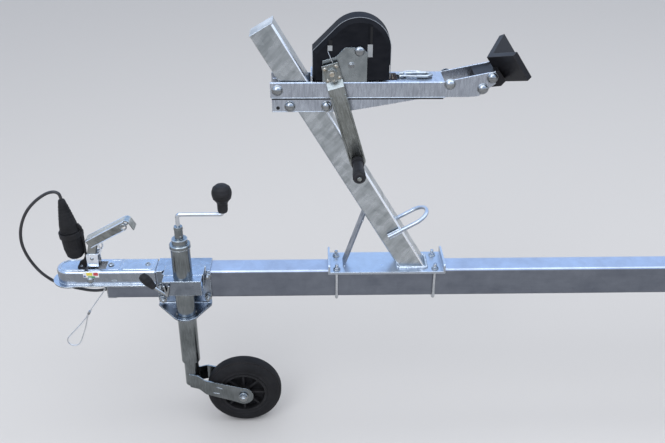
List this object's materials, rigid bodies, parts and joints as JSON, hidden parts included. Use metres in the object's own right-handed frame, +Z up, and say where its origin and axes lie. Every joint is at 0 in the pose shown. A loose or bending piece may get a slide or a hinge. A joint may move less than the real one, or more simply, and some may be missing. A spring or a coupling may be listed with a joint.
{
  "type": "boat trailer",
  "caption": "Single-beam boat trailer with one axle, mudguards, keel rollers, side pads, a winch post with bow stop and a jockey wheel, parked with its coupling handle raised.",
  "frame": {"origin": "on the ground, at the middle of the trailer's length and width, the supply cable, its plug and the safety wire left out", "axes": "+X forward to the coupling, +Y to the trailer's left, +Z up"},
  "size_m": [5.3743, 1.86, 1.0975],
  "materials": {
    "galvanised_steel": "hot-dip galvanised, matt with spangle",
    "zinc_plated_steel": "bright zinc plate",
    "axle_steel": "galvanised",
    "wheel_rim": "silver paint",
    "hub": "machined casting",
    "tyre": "road tyre",
    "jockey_tyre": "solid rubber",
    "black_plastic": "moulded",
    "winch_cover": "moulded, charcoal",
    "plug_plastic": "moulded, dark grey",
    "black_rubber": "moulded",
    "cable_sheath": "smooth sheath",
    "wire_rope": "stranded",
    "webbing": "woven strap",
    "roller_rubber": "moulded",
    "pad_cover": "ribbed",
    "lamp_lens": "moulded lens",
    "nylon": "moulded"
  },
  "bodies": {
    "frame": {"drawbar": "galvanised_steel", "drawbar_end_cap": "black_plastic", "coupling_head": "galvanised_steel", "supply_plug": "plug_plastic", "plug_holder": "black_plastic", "supply_cable": "cable_sheath", "cable_clip": "black_plastic", "safety_wire": "wire_rope", "safety_wire_fittings": "zinc_plated_steel", "jockey_bracket": "galvanised_steel", "jockey_clamp": "galvanised_steel", "jockey_clamp_lever": "black_plastic", "winch_post": "galvanised_steel", "post_base": "galvanised_steel", "post_brace": "galvanised_steel", "u_bolts": "zinc_plated_steel", "tie_down_loop": "galvanised_steel", "winch_arm": "galvanised_steel", "winch_arm_bracket": "galvanised_steel", "bow_stop": "black_rubber", "winch_frame": "zinc_plated_steel", "winch_cover": "winch_cover", "winch_strap": "webbing", "snap_hook": "zinc_plated_steel", "axle": "axle_steel", "axle_rubber": "black_rubber", "swing_arms": "axle_steel", "mudguard_stays": "galvanised_steel", "roller_brackets": "galvanised_steel", "cross_member": "galvanised_steel", "side_posts": "galvanised_steel", "light_board": "galvanised_steel", "tail_lamps": "lamp_lens", "mudguard_left": "black_plastic", "mudguard_right": "black_plastic"},
    "coupling_handle": {"coupling_handle": "zinc_plated_steel"},
    "jockey_tube": {"jockey_outer_tube": "zinc_plated_steel", "jockey_crank": "zinc_plated_steel", "jockey_knob": "black_plastic"},
    "jockey_leg": {"jockey_spindle_nut": "nylon"},
    "jockey_fork": {"jockey_fork": "zinc_plated_steel"},
    "jockey_wheel": {"jockey_rim": "black_plastic", "jockey_tyre": "jockey_tyre"},
    "winch_drum": {"winch_drum": "zinc_plated_steel"},
    "winch_crank": {"winch_crank": "zinc_plated_steel", "winch_grip": "black_plastic"},
    "keel_roller_1": {"keel_roller_1": "roller_rubber"},
    "keel_roller_2": {"keel_roller_2": "roller_rubber"},
    "keel_roller_3": {"keel_roller_3": "roller_rubber"},
    "keel_roller_4": {"keel_roller_4": "roller_rubber"},
    "wheel_left": {"hub_left": "hub", "wheel_left": "wheel_rim", "tyre_left": "tyre"},
    "side_rocker_left": {"side_rocker_left": "galvanised_steel", "side_pad_left": "pad_cover"},
    "wheel_right": {"hub_right": "hub", "wheel_right": "wheel_rim", "tyre_right": "tyre"},
    "side_rocker_right": {"side_rocker_right": "galvanised_steel", "side_pad_right": "pad_cover"}
  },
  "joints": [
    {"name": "wheel_left_spin", "type": "hinge", "parent": "frame", "child": "wheel_left", "pos_m": [-0.9, 0.82, 0.289], "axis": [0, 1, 0], "continuous": true},
    {"name": "wheel_right_spin", "type": "hinge", "parent": "frame", "child": "wheel_right", "pos_m": [-0.9, -0.82, 0.289], "axis": [0, 1, 0], "continuous": true},
    {"name": "coupling_handle_close", "type": "hinge", "parent": "frame", "child": "coupling_handle", "pos_m": [2.546, 0, 0.422], "axis": [0, -1, 0], "range_deg": [0, 38]},
    {"name": "jockey_clamp_slide", "type": "slide", "parent": "frame", "child": "jockey_tube", "axis": [0, 0, 1], "range_m": [0, 0.09]},
    {"name": "jockey_extend", "type": "slide", "parent": "jockey_tube", "child": "jockey_leg", "axis": [0, 0, -1], "range_m": [-0.03, 0.15]},
    {"name": "jockey_swivel", "type": "hinge", "parent": "jockey_leg", "child": "jockey_fork", "pos_m": [2.3, 0.08, 0.2], "axis": [0, 0, 1], "continuous": true},
    {"name": "jockey_wheel_spin", "type": "hinge", "parent": "jockey_fork", "child": "jockey_wheel", "pos_m": [2.163, 0.08, 0.1], "axis": [0, 1, 0], "continuous": true},
    {"name": "winch_drum_turn", "type": "hinge", "parent": "frame", "child": "winch_drum", "pos_m": [1.865, 0, 1.025], "axis": [0, 1, 0], "continuous": true},
    {"name": "winch_crank_turn", "type": "hinge", "parent": "frame", "child": "winch_crank", "pos_m": [1.927, 0, 0.978], "axis": [0, 1, 0], "continuous": true},
    {"name": "keel_roller_1_spin", "type": "hinge", "parent": "frame", "child": "keel_roller_1", "pos_m": [0.6, 0, 0.504], "axis": [0, 1, 0], "continuous": true},
    {"name": "keel_roller_2_spin", "type": "hinge", "parent": "frame", "child": "keel_roller_2", "pos_m": [-0.4, 0, 0.504], "axis": [0, 1, 0], "continuous": true},
    {"name": "keel_roller_3_spin", "type": "hinge", "parent": "frame", "child": "keel_roller_3", "pos_m": [-1.45, 0, 0.504], "axis": [0, 1, 0], "continuous": true},
    {"name": "keel_roller_4_spin", "type": "hinge", "parent": "frame", "child": "keel_roller_4", "pos_m": [-2.41, 0, 0.504], "axis": [0, 1, 0], "continuous": true},
    {"name": "side_rocker_left_tilt", "type": "hinge", "parent": "frame", "child": "side_rocker_left", "pos_m": [-1.815, 0.47, 0.545], "axis": [0, 1, 0], "range_deg": [-20, 20]},
    {"name": "side_rocker_right_tilt", "type": "hinge", "parent": "frame", "child": "side_rocker_right", "pos_m": [-1.815, -0.47, 0.545], "axis": [0, 1, 0], "range_deg": [-20, 20]}
  ],
  "couplings": [
    {"joint": "winch_crank_turn", "follows": "winch_drum_turn", "ratio": -4}
  ]
}
